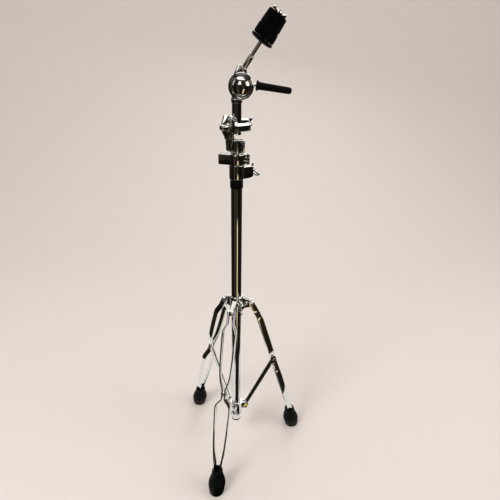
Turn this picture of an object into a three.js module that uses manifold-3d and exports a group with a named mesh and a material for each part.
// Double-braced cymbal boom stand. Millimetres, +Z up, front leg toward -Y.
// The origin is on the floor at the middle of the footprint; the column axis
// stands COLUMN_Y behind it. Parts are modelled about the column axis.
import * as THREE from "three";
import { mergeVertices } from "three/addons/utils/BufferGeometryUtils.js";
import Module from "manifold-3d";

const wasm = await Module();
wasm.setup();

const toRadians = (degrees) => (degrees * Math.PI) / 180;

// ---------- driving dimensions ----------
const COLUMN_Y = 49.058;
const GAP = 0.3; // between the base tube and the parts that meet its ends
const SCREW_R = 4; // wing bolts, tilter bolts and cymbal rod

// diameters and end heights; the upper tube slides in the base tube
const BASE_TUBE = { outer: 28.6, inner: 26.2, bottom: 89, top: 907, sides: 24 };
const UPPER_TUBE = { outer: 25.4, inner: 23, bottom: 405, top: 968.5, sides: 20 };
const BOOM_TUBE = { outer: 22.2, inner: 19.8, bottom: 984, top: 1052.5, sides: 20 };

// turns about Z, in degrees anticlockwise from above; local +X starts at +X
const LEG_AZIMUTHS = { front: -90, right: 30, left: 150 };
const HEAD_TURN = 16.8; // key bolt boss of the boom tilter
const CLAMP_TURN = 51; // lug of the height clamp
const LOCK_TURN = 5; // memory lock
const BOOM_TURN = 53.5; // boom tilter hinge
const TILTER_TURN = -8; // cymbal tilter, from the head
const COLLAR_BOLT_TURN = -43.2; // wing bolt of the sliding collar

const CLAMP_BOLT_Z = 899;
const COLLAR_BOLT_Z = 541.5;

// legs and struts
const HINGE_R = 42.4; // leg hinge on the sliding collar
const HINGE_Z = 530.2;
const SOLE_R = 199.5; // middle of the round sole
const LEAN = toRadians(16.65); // lower leg from vertical
const KNEE_S = 56; // distance down the leg where the strips reach the lower line
const KNEE = 9.2; // how far out that line lies
const BAR_T = 3.8; // strip thickness
const BAR_W = 16; // strip width
const RIVET_R = 3;
const STRUT_BOLT_R = 3;
const HINGE_HALF_GAP = 8.15; // strip centre from the leg's middle plane, at the hinge
const PINCH_HALF_GAP = BAR_T / 2 + 0.25 + BAR_T / 2; // the same, beside the strut end
const PINCH_S = 232.1; // mid rivet from the leg hinge, along the leg
const PINCH_R = HINGE_R + PINCH_S * Math.sin(LEAN) + KNEE * Math.cos(LEAN);
const PINCH_Z = HINGE_Z - PINCH_S * Math.cos(LEAN) + KNEE * Math.sin(LEAN);
const LOWER_R = 29.5; // strut pivot on the fixed collar
const LOWER_Z = 137.5;

// head
const PIVOT_Z = 1001; // boom tilter hinge
const TILT_X = 9.7; // cymbal tilter hinge
const TILT_Z = 1081.5;
const ROD_LEAN = 35; // cymbal rod from vertical, degrees
const ROD_OFFSET = 16; // rod axis beside the tilter hinge
const ROD_Y = 3.1;

// ---------- materials ----------
const chrome = { color: 0xd9dadb, roughness: 0.12, metalness: 1 };
const cast = { color: 0xcfd0d1, roughness: 0.2, metalness: 1 };
const zinc = { color: 0xc8a24c, roughness: 0.35, metalness: 1 };
const steel = { color: 0xb9bbbd, roughness: 0.3, metalness: 1 };
const rubber = { color: 0x141414, roughness: 0.85, metalness: 0 };
const nylon = { color: 0x1c1c1d, roughness: 0.5, metalness: 0 };
const felt = { color: 0x0e0e0f, roughness: 1, metalness: 0 };

// ---------- frames ----------
const move = (x, y, z) => new THREE.Matrix4().makeTranslation(x, y, z);
const turn = (axis, degrees) => new THREE.Matrix4()["makeRotation" + axis](toRadians(degrees));
const chain = (...frames) => frames.reduce((a, b) => a.multiply(b), new THREE.Matrix4());
// z of the new frame points along x of the given one, at height z
const outward = (frame, z) => chain(frame, move(0, 0, z), turn("Y", 90));

const COLUMN = new THREE.Matrix4();
const headFrame = turn("Z", HEAD_TURN);
const clampFrame = turn("Z", CLAMP_TURN);
const lockFrame = turn("Z", LOCK_TURN);
const boomFrame = turn("Z", BOOM_TURN);
const collarBoltFrame = turn("Z", COLLAR_BOLT_TURN);
const tilterFrame = turn("Z", HEAD_TURN + TILTER_TURN);

// ---------- solids ----------
// three.js geometry, moved by a frame, as a manifold solid facing out
function solid(geometry, frame) {
  const flat = geometry.index ? geometry.toNonIndexed() : geometry;
  const bare = new THREE.BufferGeometry().setAttribute("position", flat.getAttribute("position"));
  const merged = mergeVertices(bare.applyMatrix4(frame), 1e-4);
  const index = merged.index.array;
  const triangles = [];
  for (let i = 0; i < index.length; i += 3) {
    const [a, b, c] = [index[i], index[i + 1], index[i + 2]];
    if (a !== b && b !== c && a !== c) triangles.push(a, b, c);
  }
  const build = () =>
    new wasm.Manifold(new wasm.Mesh({
      numProp: 3,
      vertProperties: new Float32Array(merged.attributes.position.array),
      triVerts: new Uint32Array(triangles),
    }));
  const made = build();
  if (made.volume() > 0) return made;
  // inside out: reverse every triangle
  for (let i = 0; i < triangles.length; i += 3) {
    [triangles[i + 1], triangles[i + 2]] = [triangles[i + 2], triangles[i + 1]];
  }
  return build();
}

const unite = (...solids) => solids.reduce((a, b) => a.add(b));
const cut = (body, ...tools) => tools.reduce((a, b) => a.subtract(b), body);

const ROD_SIDES = 10;
// radius of a ten-sided hole that a ten-sided shaft turns in freely
const bore = (radius) => (radius + 0.09) / Math.cos(Math.PI / ROD_SIDES);

// cylinder between two heights along Z
function rod(radius, z0, z1, frame = COLUMN, sides = ROD_SIDES, endRadius = radius) {
  const geometry = new THREE.CylinderGeometry(endRadius, radius, z1 - z0, sides);
  return solid(geometry, chain(frame, move(0, 0, (z0 + z1) / 2), turn("X", 90)));
}
// cylinder along X at height z
const rodX = (radius, x0, x1, z, frame, sides, endRadius) =>
  rod(radius, x0, x1, outward(frame, z), sides, endRadius);
// cylinder along Y through (x, z)
const rodY = (radius, y0, y1, x, z, frame, sides) =>
  rod(radius, y0, y1, chain(frame, move(x, 0, z), turn("X", -90)), sides);

// body of revolution about Z from (radius, height) pairs;
// a profile off the axis is closed on itself
function lathe(profile, sides, frame = COLUMN) {
  const points = profile.map(([radius, z]) => new THREE.Vector2(radius, z));
  if (points[0].x > 0 || points[points.length - 1].x > 0) points.push(points[0].clone());
  return solid(new THREE.LatheGeometry(points, sides), chain(frame, turn("X", 90)));
}

function box(x0, x1, y0, y1, z0, z1, frame) {
  const centre = move((x0 + x1) / 2, (y0 + y1) / 2, (z0 + z1) / 2);
  return solid(new THREE.BoxGeometry(x1 - x0, y1 - y0, z1 - z0), chain(frame, centre));
}

// prism over a polygon in XY, between two heights
function prism(points, z0, z1, frame) {
  const shape = new THREE.Shape(points.map(([x, y]) => new THREE.Vector2(x, y)));
  const geometry = new THREE.ExtrudeGeometry(shape, { depth: z1 - z0, bevelEnabled: false });
  return solid(geometry, chain(frame, move(0, 0, z0)));
}
// prism over a polygon in XZ, between two y
const prismXZ = (points, y0, y1, frame) => prism(points, -y1, -y0, chain(frame, turn("X", 90)));
// prism over a polygon in YZ, between two x
const YZ_PLANE = new THREE.Matrix4().makeBasis(
  new THREE.Vector3(0, 1, 0),
  new THREE.Vector3(0, 0, 1),
  new THREE.Vector3(1, 0, 0),
);
const prismYZ = (points, x0, x1, frame) => prism(points, x0, x1, chain(frame, YZ_PLANE));

// regular polygon round (x, y); a tooth depth pulls in every second corner
function polygon(radius, count, x = 0, y = 0, toothDepth = 0) {
  return Array.from({ length: count }, (_, i) => {
    const angle = (2 * Math.PI * i) / count;
    const reach = i % 2 ? radius - toothDepth : radius;
    return [reach * Math.cos(angle) + x, reach * Math.sin(angle) + y];
  });
}
const flipY = (points) => points.map(([x, y]) => [x, -y]);
// half outline that starts and ends at x = 0, completed by its mirror image
const withMirror = (half) => [...half, ...half.map(([x, y]) => [-x, y]).reverse().slice(1, -1)];

// ---------- shared hardware ----------
const pipe = ({ outer, inner, bottom, top, sides }, frame) =>
  lathe([[inner / 2, bottom], [outer / 2, bottom], [outer / 2, top], [inner / 2, top]],
    sides, frame);

// hub with two flaring wings, along +Z from z = 0
function wingHead({ span, height, hubRadius, hubHeight, thickness }, frame) {
  const reach = span / 2;
  const wing = [
    [0, 0.4], [hubRadius + 1, 0.4], [reach * 0.62, height * 0.18],
    [reach * 0.94, height * 0.5], [reach, height * 0.78], [reach * 0.93, height * 0.97],
    [reach * 0.78, height], [reach * 0.6, height * 0.86], [reach * 0.42, height * 0.62],
    [hubRadius * 0.6, hubHeight * 0.96], [0, hubHeight],
  ];
  const hub = [
    [0, 0], [hubRadius, 0], [hubRadius, hubHeight * 0.72], [hubRadius - 1.4, hubHeight],
    [0, hubHeight],
  ];
  return unite(
    lathe(hub, 12, frame),
    prismXZ(withMirror(wing), -thickness / 2, thickness / 2, frame),
  );
}

// screw from one z to another, with a wing head
function wingBolt(frame, { from, to, headAt, headTurn, ...head }) {
  return unite(
    rod(SCREW_R, from, to, frame),
    wingHead(head, chain(frame, move(0, 0, headAt), turn("Z", headTurn))),
  );
}

// square-headed bolt along Y through (x, z); shank and flange are [radius, from, to],
// the square is [half width, from, to]
function keyBolt(x, z, frame, { shank, flange, square: [half, from, to] }) {
  return unite(
    rodY(...shank, x, z, frame),
    rodY(...flange, x, z, frame),
    box(x - half, x + half, from, to, z - half, z + half, frame),
  );
}

// ---------- column ----------
const clampScrewSlot = () => rodX(SCREW_R + 0.6, 5, 30, CLAMP_BOLT_Z, clampFrame);

const baseTube = () => cut(pipe(BASE_TUBE), clampScrewSlot());

// plug in the bottom of the base tube, flanged below it
function baseTubeCap() {
  const flangeR = BASE_TUBE.outer / 2;
  const flangeTop = BASE_TUBE.bottom - GAP;
  return lathe([
    [0, 83], [13.4, 83], [flangeR, 83.9], [flangeR, flangeTop], [12.8, flangeTop],
    [12.8, 101], [0, 101],
  ], 18);
}

// sleeve over the top of the base tube, closing in to the upper tube above it
function baseTubeBushing() {
  const lip = BASE_TUBE.top + GAP;
  const sleeve = lathe([
    [14.6, 863], [15.1, 863], [15.5, 863.5], [15.5, 913], [13, 913], [13, lip], [14.6, lip],
  ], 20);
  return cut(sleeve, clampScrewSlot());
}

// ring round the bushing, with a square lug for the wing bolt
function heightClamp() {
  const innerR = 15.8;
  const ring = [
    [innerR, 886], [17.4, 886], [18.2, 887], [18.2, 916.8], [17, 918], [innerR, 918],
  ];
  // (x, z)
  const lug = [
    [0, 885], [28, 885], [37, 886.8], [38.5, 888.3], [38.5, 910], [37, 911.5], [28, 913],
    [0, 913],
  ];
  return cut(
    unite(lathe(ring, 20, clampFrame), prismXZ(lug, -14.4, 14.4, clampFrame)),
    rod(innerR, 870, 930, clampFrame, 20),
    rodX(bore(SCREW_R), 10, 50, CLAMP_BOLT_Z, clampFrame),
  );
}

const heightWingBolt = () =>
  wingBolt(outward(clampFrame, CLAMP_BOLT_Z), {
    from: 12.95, to: 41, headAt: 39.2, headTurn: -52,
    span: 39.6, height: 19, hubRadius: 6.5, hubHeight: 10, thickness: 4.2,
  });

// ---------- leg collars ----------
// fixed collar with a pair of rounded ears for each strut
function lowerCollar() {
  const innerR = 14.5;
  const rootR = 15;
  const tipR = 38.5;
  const bottom = 124.5;
  const top = 150.5;
  const earInner = 2.4;
  const earOuter = 7.2;
  // (radius, z)
  const ear = [
    [rootR, bottom + 4], [LOWER_R + 2, bottom], [tipR - 3, bottom + 2], [tipR, LOWER_Z - 3],
    [tipR, LOWER_Z + 3], [tipR - 3, top - 2], [LOWER_R + 2, top], [rootR, top + 3],
  ];
  let collar = lathe([
    [innerR, 114], [18, 114], [19, 115], [19, 158], [18, 159], [innerR, 159],
  ], 20);
  for (const azimuth of Object.values(LEG_AZIMUTHS)) {
    const frame = turn("Z", azimuth);
    collar = unite(
      collar,
      prismXZ(ear, earInner, earOuter, frame),
      prismXZ(ear, -earOuter, -earInner, frame),
    );
    collar = cut(collar, rodY(bore(STRUT_BOLT_R), -9, 9, LOWER_R, LOWER_Z, frame));
  }
  return cut(collar, rod(innerR, 100, 175, COLUMN, 20));
}

// sliding collar with a solid lug for each leg hinge and a boss for its wing bolt
function upperCollar() {
  const bottom = 516;
  const top = 562;
  const innerR = 14.6;
  // (radius, z)
  const lug = [
    [14, 519], [38, 520], [45, 521.5], [49.5, 525.5], [51, 530.2], [49.5, 535], [45, 539],
    [38, 542], [24, 549], [14, 554],
  ];
  let collar = lathe([
    [innerR, bottom], [17.4, bottom], [18.4, bottom + 1], [18.4, top - 2], [16.6, top],
    [innerR, top],
  ], 20);
  for (const azimuth of Object.values(LEG_AZIMUTHS)) {
    const frame = turn("Z", azimuth);
    collar = unite(collar, prismXZ(lug, -5.9, 5.9, frame));
    collar = cut(collar, rodY(bore(RIVET_R), -8, 8, HINGE_R, HINGE_Z, frame));
  }
  return cut(
    unite(collar, rodX(9.5, 10, 27, COLLAR_BOLT_Z, collarBoltFrame, 14)),
    rod(innerR, 500, 600, COLUMN, 20),
    rodX(bore(SCREW_R), 10, 40, COLLAR_BOLT_Z, collarBoltFrame),
  );
}

const collarWingBolt = () =>
  wingBolt(outward(collarBoltFrame, COLLAR_BOLT_Z), {
    from: 14.75, to: 29, headAt: 27.4, headTurn: 62,
    span: 40, height: 17, hubRadius: 6.2, hubHeight: 9, thickness: 4,
  });

// ---------- legs ----------
// x down the leg from the hinge, y tangential, z outward across the strip
function legFrame(azimuth) {
  const angle = toRadians(azimuth);
  const radialX = Math.cos(angle);
  const radialY = Math.sin(angle);
  const sin = Math.sin(LEAN);
  const cos = Math.cos(LEAN);
  return new THREE.Matrix4()
    .makeBasis(
      new THREE.Vector3(radialX * sin, radialY * sin, -cos),
      new THREE.Vector3(-radialY, radialX, 0),
      new THREE.Vector3(radialX * cos, radialY * cos, sin),
    )
    .setPosition(HINGE_R * radialX, HINGE_R * radialY, HINGE_Z);
}

// strip centre where it runs inside the boot: distance down the leg, half gap
const BOOT_MOUTH = [452, 9.4];
const BOOT_MIDDLE = [480, 6.6];
const STRIP_END_HALF_GAP = 5;

// centre line of a strip in the leg frame: (distance down the leg, y)
const BOWED_LINE = [
  [-9, HINGE_HALF_GAP], [30, HINGE_HALF_GAP], [50, 16.8], [140, 16.8], [186, 13.6],
  [220, PINCH_HALF_GAP], [244, PINCH_HALF_GAP], [268, 20.6], [400, 16.6],
  BOOT_MOUTH, BOOT_MIDDLE, [540, STRIP_END_HALF_GAP],
];
// the same strip seen from the side: (distance down the leg, z)
const SIDE_LINE = [[-9, -1.5], [0, 0], [KNEE_S, KNEE], [545, KNEE]];

// replaces each inner corner of a line by a short chamfer
function eased(line, reach) {
  const points = line.map(([x, y]) => new THREE.Vector2(x, y));
  const result = [line[0]];
  for (let i = 1; i < points.length - 1; i++) {
    const [before, corner, after] = points.slice(i - 1, i + 2);
    const size = Math.min(reach, corner.distanceTo(before) * 0.2, corner.distanceTo(after) * 0.2);
    for (const neighbour of [before, after]) {
      const point = corner.clone().add(neighbour.clone().sub(corner).setLength(size));
      result.push([point.x, point.y]);
    }
  }
  result.push(line[line.length - 1]);
  return result;
}

// outline of the given width along a centre line
function band(line, width) {
  const left = [];
  const right = [];
  line.forEach(([x, y], i) => {
    const before = line[Math.max(i - 1, 0)];
    const after = line[Math.min(i + 1, line.length - 1)];
    const along = new THREE.Vector2(after[0] - before[0], after[1] - before[1]).normalize();
    left.push([x - (along.y * width) / 2, y + (along.x * width) / 2]);
    right.push([x + (along.y * width) / 2, y - (along.x * width) / 2]);
  });
  return [...right, ...left.reverse()];
}

const easedLine = eased(BOWED_LINE, 7);
const STRIP_LINES = { a: easedLine, b: flipY(easedLine).reverse() };

function legStrip(line, frame) {
  const bowed = prism(band(line, BAR_T), -40, 40, frame);
  const kneed = prismXZ(band(eased(SIDE_LINE, 12), BAR_W), -30, 30, frame);
  return cut(
    bowed.intersect(kneed),
    rodY(bore(RIVET_R), -20, 20, 0, 0, frame),
    rodY(bore(RIVET_R), -20, 20, PINCH_S, KNEE, frame),
    // the strip is narrowed on both edges at its top end
    box(-14, -4, -20, 20, 4.4, 12, frame),
    box(-14, -4, -20, 20, -12, -6.6, frame),
  );
}

// rivet across two strips whose centres lie halfGap from the leg's middle plane
function rivet(halfGap, distance, z, frame) {
  const half = halfGap + BAR_T / 2 + 0.2;
  const headR = 5.2;
  return lathe([
    [0, -half - 2.5], [headR, -half - 1.1], [headR, -half], [RIVET_R, -half],
    [RIVET_R, half], [headR, half], [headR, half + 1.1], [0, half + 2.5],
  ], 10, chain(frame, move(distance, 0, z), turn("X", -90)));
}

// boot: round sole flat on the floor, widest at mid height, closed round the strips at the top
function foot(azimuth, frame) {
  const meetZ = 78; // where the boot's middle meets the leg's
  const meetR = HINGE_R + KNEE * Math.cos(LEAN)
    + (HINGE_Z + KNEE * Math.sin(LEAN) - meetZ) * Math.tan(LEAN);
  const slope = (SOLE_R - meetR) / meetZ;
  // leans the boot inward with height while the sole stays level
  const shear = new THREE.Matrix4().set(
    1, 0, -slope, SOLE_R,
    0, 1, 0, 0,
    0, 0, 1, 0,
    0, 0, 0, 1,
  );
  const boot = lathe([
    [0, 0], [20, 0], [22, 2.6], [25, 22], [25, 30], [22.4, 44], [16.8, 64], [15.6, 76],
    [13.6, 78.5], [0, 78.5],
  ], 18, chain(turn("Z", azimuth), shear));
  // half outline of the pocket for the strips: (distance down the leg, y)
  const pocket = [
    [446, 12.6],
    [BOOT_MOUTH[0], BOOT_MOUTH[1] + BAR_T / 2 + 0.8],
    [BOOT_MIDDLE[0], BOOT_MIDDLE[1] + BAR_T / 2 + 0.6],
    [541.5, STRIP_END_HALF_GAP + BAR_T / 2 + 0.4],
  ];
  const halfWidth = BAR_W / 2 + 0.4;
  const outline = [...flipY(pocket), ...pocket.slice().reverse()];
  return cut(boot, prism(outline, KNEE - halfWidth, KNEE + halfWidth, frame));
}

// flat strip from the mid rivet to the lower collar, slotted at the rivet
function strut(azimuth) {
  const run = LOWER_R - PINCH_R;
  const rise = LOWER_Z - PINCH_Z;
  const length = Math.hypot(run, rise);
  const pitch = (Math.atan2(rise, run) * 180) / Math.PI;
  // x along the strut, z across it
  const frame = chain(turn("Z", azimuth), move(PINCH_R, 0, PINCH_Z), turn("Y", -pitch));
  const start = -10;
  const half = BAR_W / 2 - 0.5;
  const outline = [
    [start, -3], [start + 3, -half + 1], [start + 6, -half], [length + 2, -half],
    [length + 6.5, -half + 2.5], [length + 8, 0], [length + 6.5, half - 2.5],
    [length + 2, half], [start + 6, half], [start + 3, half - 1], [start, 3],
  ];
  return cut(
    prismXZ(outline, -BAR_T / 2, BAR_T / 2, frame),
    box(-6.8, 6.8, -5, 5, -4.5, 4.5, frame),
    rodY(bore(STRUT_BOLT_R), -5, 5, length, 0, frame),
  );
}

const strutBolt = (frame) =>
  unite(rod(STRUT_BOLT_R, -7.6, 11.6, frame), prism(polygon(5.6, 6), -11.4, -7.5, frame));
const strutNut = (frame) =>
  cut(prism(polygon(5.8, 6), 7.5, 12.6, frame), rod(bore(STRUT_BOLT_R), 6, 14, frame));

// ---------- memory lock ----------
// two hinged halves round the upper tube: pin at +X, clamping lugs at -X
const LOCK = { bottom: 919.6, top: 942, ringR: 19.5, innerR: 12.85, pinX: 26, boltX: -30 };
const LOCK_THIRD = (LOCK.top - LOCK.bottom) / 3;
const LOCK_SPLITS = [LOCK.bottom + LOCK_THIRD, LOCK.bottom + 2 * LOCK_THIRD];
const LOCK_MID_Z = (LOCK.bottom + LOCK.top) / 2;
const LOCK_LUG_X = -39.5;
const KNUCKLE_GAP = 0.2; // each side of a split between knuckles
const pinFrame = chain(lockFrame, move(LOCK.pinX, 0, 0));
// lug plans (x, y)
const NEAR_LUG = [
  [LOCK_LUG_X, -0.7], [LOCK_LUG_X, -14.6], [LOCK_LUG_X + 1.6, -16], [6.5, -18.4],
  [6.5, -14], [-10, -10], [-12, -0.7],
];
const FAR_LUG = [
  [LOCK_LUG_X, 0.7], [LOCK_LUG_X, 6.5], [LOCK_LUG_X + 1.6, 8], [-9.5, 17], [-6, 17.8],
  [-6, 14], [-12, 8], [-12, 0.7],
];

// half ring and lug on the side of the given sign of y
function lockHalf(sign, lug) {
  const ring = Array.from({ length: 11 }, (_, i) => {
    const angle = toRadians(178.9 - (177.8 * i) / 10);
    return [LOCK.ringR * Math.cos(angle), sign * LOCK.ringR * Math.sin(angle)];
  });
  return cut(
    unite(
      prism(ring, LOCK.bottom, LOCK.top, lockFrame),
      prism(lug, LOCK.bottom, LOCK.top, lockFrame),
    ),
    rod(LOCK.innerR, LOCK.bottom - 5, LOCK.top + 5, lockFrame, 20),
  );
}

// hinge knuckle and the arm that joins it to its half ring
function lockKnuckle(sign, z0, z1) {
  const arm = [
    [14.5, sign * 0.4], [14.5, sign * 11], [20, sign * 6.5], [26, sign * 4.3],
    [26, sign * 0.4],
  ];
  return unite(prism(arm, z0, z1, lockFrame), rod(4.6, z0, z1, pinFrame, 12));
}
const knuckleRoom = (z0, z1) => rod(5.1, z0, z1, pinFrame, 12);
const lockPinHole = () => rod(1.9, LOCK.bottom - 2, LOCK.top + 2, pinFrame);

// half on the -Y side, with the bottom and top knuckles
function memoryLockNear() {
  const [low, high] = LOCK_SPLITS;
  const body = cut(lockHalf(-1, NEAR_LUG), knuckleRoom(low - KNUCKLE_GAP, high + KNUCKLE_GAP));
  return cut(
    unite(
      body,
      lockKnuckle(-1, LOCK.bottom, low - KNUCKLE_GAP),
      lockKnuckle(-1, high + KNUCKLE_GAP, LOCK.top),
    ),
    lockPinHole(),
    rodY(bore(3) + 0.9, -9.6, 1, LOCK.boltX, LOCK_MID_Z, lockFrame),
  );
}

// half on the +Y side, with the middle knuckle
function memoryLockFar() {
  const [low, high] = LOCK_SPLITS;
  const body = cut(
    lockHalf(1, FAR_LUG),
    knuckleRoom(LOCK.bottom - 1, low + KNUCKLE_GAP),
    knuckleRoom(high - KNUCKLE_GAP, LOCK.top + 1),
  );
  return cut(
    unite(body, lockKnuckle(1, low + KNUCKLE_GAP, high - KNUCKLE_GAP)),
    lockPinHole(),
    rodY(bore(3), -1, 20, LOCK.boltX, LOCK_MID_Z, lockFrame),
  );
}

function memoryLockPin() {
  const headZ = LOCK.top + 0.2;
  return unite(
    rod(1.7, LOCK.bottom - 0.6, headZ, pinFrame),
    rod(2.8, headZ, LOCK.top + 1.6, pinFrame),
  );
}

const memoryLockKeyBolt = () =>
  keyBolt(LOCK.boltX, LOCK_MID_Z, lockFrame, {
    shank: [3, -9, 13.4], flange: [4.9, 12.4, 14.8], square: [2.3, 14.6, 20],
  });

// ---------- boom tilter ----------
const FLANGE_R = 22.8;
const NECK_KEY = { x: 15.6, z: 967, radius: 2.1 };
const toothedDisc = (x0, x1) =>
  prismYZ(polygon(FLANGE_R, 40, 0, PIVOT_Z, 1.2), x0, x1, boomFrame);

// socket round the top of the upper tube, with a toothed ear beside the boom clamp
function boomTilterBase() {
  const innerR = 12.9;
  const neckBottom = 943;
  const neckTop = 973;
  const earOuter = -22.5;
  const earInner = -16.6;
  const neck = [
    [innerR, neckBottom], [13.8, neckBottom], [14.4, 944.5], [15.2, 962], [15.4, neckTop],
    [innerR, neckTop],
  ];
  // (y, z)
  const earStem = [[-10, 950], [10, 950], [13.2, 966], [15, 990], [-15, 990], [-13.2, 966]];
  // (x, z), between the neck and the ear
  const web = [[-20, 956], [-12.6, 946], [-12.6, 972.6], [-17, 972.6], [-20, 980]];
  return cut(
    unite(
      lathe(neck, 20, boomFrame),
      toothedDisc(-20, earInner),
      prismYZ(polygon(20.4, 20, 0, PIVOT_Z), earOuter, -19.8, boomFrame),
      prismYZ(earStem, earOuter, earInner, boomFrame),
      prismXZ(web, -10.5, 10.5, boomFrame),
      box(12, 18.6, -5.6, 5.6, 944.2, 972, headFrame), // key bolt boss
    ),
    rod(innerR, 930, 990, boomFrame, 20),
    rodX(bore(SCREW_R) + 0.1, -40, -10, PIVOT_Z, boomFrame),
    rodY(bore(NECK_KEY.radius), -10, 10, NECK_KEY.x, NECK_KEY.z, headFrame),
    rodY(4.6, -14, -5.95, NECK_KEY.x, NECK_KEY.z, headFrame),
  );
}

const tilterBaseKeyBolt = () =>
  keyBolt(NECK_KEY.x, NECK_KEY.z, headFrame, {
    shank: [NECK_KEY.radius, -8, 7], flange: [3.9, -8.6, -6], square: [2.2, -13.6, -8.5],
  });

const LENGTH_SCREW_Z = PIVOT_Z + 2;

// toothed flange and a round body lying along the hinge, bored for the boom tube
function boomClamp() {
  return cut(
    unite(
      toothedDisc(-16.3, -12.8),
      rodX(FLANGE_R, -13, -9.4, PIVOT_Z, boomFrame, 26, 21.6),
      rodX(15.5, -10, 27.6, PIVOT_Z, boomFrame, 20),
      rodX(15.5, 27.5, 29.5, PIVOT_Z, boomFrame, 20, 13.6),
    ),
    rod(BOOM_TUBE.outer / 2 + 0.15, 960, 1040, boomFrame, 20),
    rodX(bore(SCREW_R), -40, -10, PIVOT_Z, boomFrame),
    rodX(bore(SCREW_R), 5, 40, LENGTH_SCREW_Z, boomFrame),
  );
}

// stud held in the boom clamp; its wing nut sits outside the ear
const boomPivotStud = () => rodX(SCREW_R, -38, -11.6, PIVOT_Z, boomFrame);

function boomWingNut() {
  const frame = chain(boomFrame, move(-22.9, 0, PIVOT_Z), turn("Y", -90));
  const wing = [
    [0, 0.2], [9, 0.2], [17, 1], [23, 2.6], [26.2, 5.4], [26.4, 8.6], [24, 10.6],
    [18, 12.4], [10, 16], [0, 18],
  ];
  return cut(
    unite(
      lathe([[0, 0], [9.4, 0], [9.4, 4], [8, 12], [6.2, 19.4], [0, 20]], 14, frame),
      prismXZ(withMirror(wing), -2.6, 2.6, chain(frame, turn("Z", 6))),
    ),
    rod(bore(SCREW_R), -1, 17, frame),
  );
}

const boomLengthScrew = () =>
  wingBolt(outward(boomFrame, LENGTH_SCREW_Z), {
    from: 11.4, to: 31, headAt: 29.9, headTurn: 12,
    span: 30, height: 12, hubRadius: 6.2, hubHeight: 10, thickness: 4,
  });

// ---------- cymbal tilter ----------
// discs stacked along Y on the tilter hinge
const tiltDisc = (radius, y0, y1, sides) =>
  rodY(radius, y0, y1, TILT_X, TILT_Z, tilterFrame, sides);
const tiltHole = () => tiltDisc(bore(SCREW_R), -30, 30);
const tiltHexagon = (radius, y0, y1) =>
  prismXZ(polygon(radius, 6, TILT_X, TILT_Z), y0, y1, tilterFrame);

// x across the cymbal rod, z along it
const carrierFrame = chain(tilterFrame, move(TILT_X, 0, TILT_Z), turn("Y", ROD_LEAN));
const rodFrame = chain(carrierFrame, move(-ROD_OFFSET, ROD_Y, 0));
// x along the lever
const leverFrame = chain(tilterFrame, move(TILT_X, 11.5, TILT_Z), turn("Y", 7));
const LEVER_Z = 5.3;

// plug and skirt at the top of the boom tube, carrying the first disc
function tilterBase() {
  const plug = [
    [11.3, 1049], [12.3, 1049], [12.8, 1049.6], [12.8, 1056], [11.8, 1057.4], [0, 1057.4],
    [0, 1036], [9.6, 1036], [9.6, 1052.8], [11.3, 1052.8],
  ];
  return cut(
    unite(
      lathe(plug, 20, tilterFrame),
      tiltDisc(27, -9.4, -2, 26),
      box(-10, 10, -9.4, -2, 1053, 1070, tilterFrame),
    ),
    tiltHole(),
    tiltDisc(27.1, -1.9, 20, 26),
  );
}

// domed cap over the bolt head, on the -Y side
const tilterDomeCap = () =>
  lathe([
    [0, 6.6], [8, 6.6], [8, 0], [19, 0], [19.4, 3], [17.4, 7.2], [12.6, 10.6], [6, 12.5],
    [0, 13],
  ], 20, chain(tilterFrame, move(TILT_X, -9.7, TILT_Z), turn("X", 90)));

const tilterBolt = () => unite(tiltDisc(SCREW_R, -10.2, 18.6), tiltHexagon(6.4, -14.4, -9.9));

// disc plus an offset block and boss that hold the cymbal rod
function rodCarrier() {
  const y0 = -1.6;
  const y1 = 7.8;
  // (x, z)
  const block = [
    [-22, -6], [-23.6, -5], [-29.6, 27.5], [-28.4, 30.6], [-26, 31.5], [-9.4, 31.5],
    [-7.2, 29.8], [1, 22], [6, 0],
  ];
  return cut(
    unite(
      tiltDisc(23, y0, y1, 24),
      prismXZ(block, y0, y1, carrierFrame),
      rod(7.6, 20, 31.5, rodFrame, 14),
    ),
    tiltHole(),
    rod(4.15, 12, 60, rodFrame),
    // keep the rod boss clear of the discs on both sides
    tiltDisc(27.9, -12, y0 - 0.05, 24),
    tiltDisc(26.9, y1 + 0.05, 20, 24),
  );
}

const leverHub = () =>
  cut(unite(tiltDisc(26, 8.2, 14.8, 26), rodX(3.5, 20, 29.6, LEVER_Z, leverFrame)), tiltHole());

const leverGrip = () =>
  lathe([
    [0, 29.9], [9.6, 29.9], [10.5, 31], [10.5, 33.2], [9.2, 34.6], [7.9, 36.4], [7.6, 42],
    [7.2, 70], [6.9, 99], [6, 103], [4, 105.4], [0, 106],
  ], 14, outward(leverFrame, LEVER_Z));

const tilterLockNut = () => cut(tiltHexagon(6.6, 15.1, 19.6), tiltHole());

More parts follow.
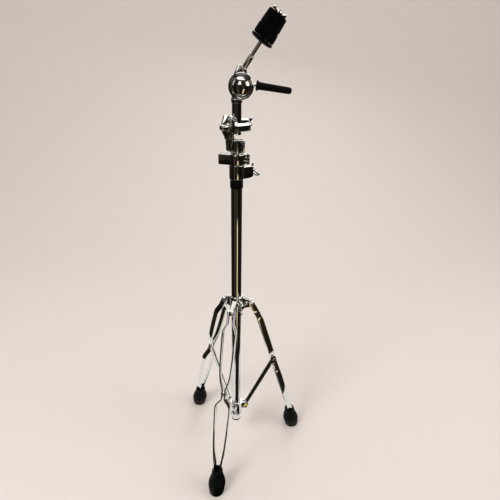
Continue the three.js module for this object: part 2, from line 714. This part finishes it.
// turned parts stacked on the cymbal rod, listed upward:
// name, material, sides, (radius, distance along the rod)
const ROD_STACK = [
  ["rod_ferrule", chrome, 14, [
    [4.15, 31.8], [6.3, 31.8], [6.3, 56.6], [6.8, 57.3], [6.8, 59.2], [6, 60], [4.15, 60],
  ]],
  ["cymbal_seat_cup", nylon, 18, [
    [4.2, 88], [14, 88], [22.4, 89], [24, 91.4], [24, 96], [22.9, 96], [22.9, 94], [4.2, 94],
  ]],
  ["cymbal_sleeve", nylon, 12, [
    [4.2, 94.3], [8.5, 94.3], [8.5, 95.8], [5.6, 95.8], [5.6, 141.4], [4.2, 141.4],
  ]],
  ["felt_lower", felt, 18, [
    [5.9, 96.3], [21.6, 96.3], [22.7, 97.4], [23, 107], [22.6, 116.2], [21.4, 117.4],
    [5.9, 117.4],
  ]],
  ["felt_upper", felt, 18, [
    [5.9, 117.7], [20.4, 117.7], [21.4, 119], [21, 128], [20.2, 144], [19, 146.8],
    [16.6, 146.8], [15.5, 145], [15.5, 141.6], [5.9, 141.6],
  ]],
];

function cymbalWingNut() {
  const frame = chain(rodFrame, move(0, 0, 141.9));
  const hub = [
    [0, 0], [14, 0], [14.8, 0.8], [14.2, 2.2], [8, 3.6], [7.2, 8], [5.6, 10.6], [0, 10.6],
  ];
  const wings = [
    [-17, 5.6], [-18.2, 7.2], [-17.4, 10.2], [-14.4, 11.4], [-10, 9], [0, 8], [10, 9],
    [14.4, 11.4], [17.4, 10.2], [18.2, 7.2], [17, 5.6], [12, 5.3], [6, 3], [-6, 3],
    [-12, 5.3],
  ];
  return cut(
    unite(lathe(hub, 16, frame), prismXZ(wings, -2.2, 2.2, chain(frame, turn("Z", 38)))),
    rod(bore(SCREW_R), -1, 13, frame),
  );
}

// ---------- assembly ----------
const group = new THREE.Group();
group.name = "cymbal_boom_stand";
group.position.set(0, COLUMN_Y, 0);

function add(name, body, look) {
  const { vertProperties, triVerts } = body.getMesh();
  const geometry = new THREE.BufferGeometry()
    .setAttribute("position", new THREE.BufferAttribute(vertProperties, 3))
    .setIndex(new THREE.BufferAttribute(triVerts, 1));
  geometry.computeVertexNormals();
  const mesh = new THREE.Mesh(geometry, new THREE.MeshStandardMaterial(look));
  mesh.name = name;
  group.add(mesh);
}

add("base_tube", baseTube(), chrome);
add("base_tube_end_cap", baseTubeCap(), rubber);
add("base_tube_bushing", baseTubeBushing(), nylon);
add("height_clamp", heightClamp(), cast);
add("height_wing_bolt", heightWingBolt(), chrome);
add("lower_collar", lowerCollar(), cast);
add("upper_leg_collar", upperCollar(), cast);
add("collar_wing_bolt", collarWingBolt(), chrome);

for (const [side, azimuth] of Object.entries(LEG_AZIMUTHS)) {
  const frame = legFrame(azimuth);
  for (const [tag, line] of Object.entries(STRIP_LINES)) {
    add(`leg_${side}_strip_${tag}`, legStrip(line, frame), chrome);
  }
  add(`leg_${side}_hinge_rivet`, rivet(HINGE_HALF_GAP, 0, 0, frame), steel);
  add(`leg_${side}_mid_rivet`, rivet(PINCH_HALF_GAP, PINCH_S, KNEE, frame), steel);
  add(`foot_${side}`, foot(azimuth, frame), rubber);
  add(`strut_${side}`, strut(azimuth), chrome);
  const boltFrame = chain(turn("Z", azimuth), move(LOWER_R, 0, LOWER_Z), turn("X", 90));
  add(`strut_${side}_bolt`, strutBolt(boltFrame), steel);
  add(`strut_${side}_nut`, strutNut(boltFrame), zinc);
}

add("upper_tube", pipe(UPPER_TUBE), chrome);
add("memory_lock_near", memoryLockNear(), cast);
add("memory_lock_far", memoryLockFar(), cast);
add("memory_lock_pin", memoryLockPin(), steel);
add("memory_lock_key_bolt", memoryLockKeyBolt(), steel);
add("boom_tilter_base", boomTilterBase(), cast);
add("tilter_base_key_bolt", tilterBaseKeyBolt(), steel);
add("boom_clamp", boomClamp(), cast);
add("boom_pivot_stud", boomPivotStud(), steel);
add("boom_wing_nut", boomWingNut(), chrome);
add("boom_length_screw", boomLengthScrew(), chrome);
add("boom_tube", pipe(BOOM_TUBE, boomFrame), chrome);
add("tilter_base", tilterBase(), cast);
add("tilter_dome_cap", tilterDomeCap(), chrome);
add("tilter_bolt", tilterBolt(), steel);
add("rod_carrier", rodCarrier(), cast);
add("tilter_lever_hub", leverHub(), cast);
add("tilter_lever_grip", leverGrip(), rubber);
add("tilter_lock_nut", tilterLockNut(), steel);
add("cymbal_rod", rod(SCREW_R, 14, 153.6, rodFrame), steel);
for (const [name, look, sides, profile] of ROD_STACK) {
  add(name, lathe(profile, sides, rodFrame), look);
}
add("cymbal_wing_nut", cymbalWingNut(), chrome);

export default group;
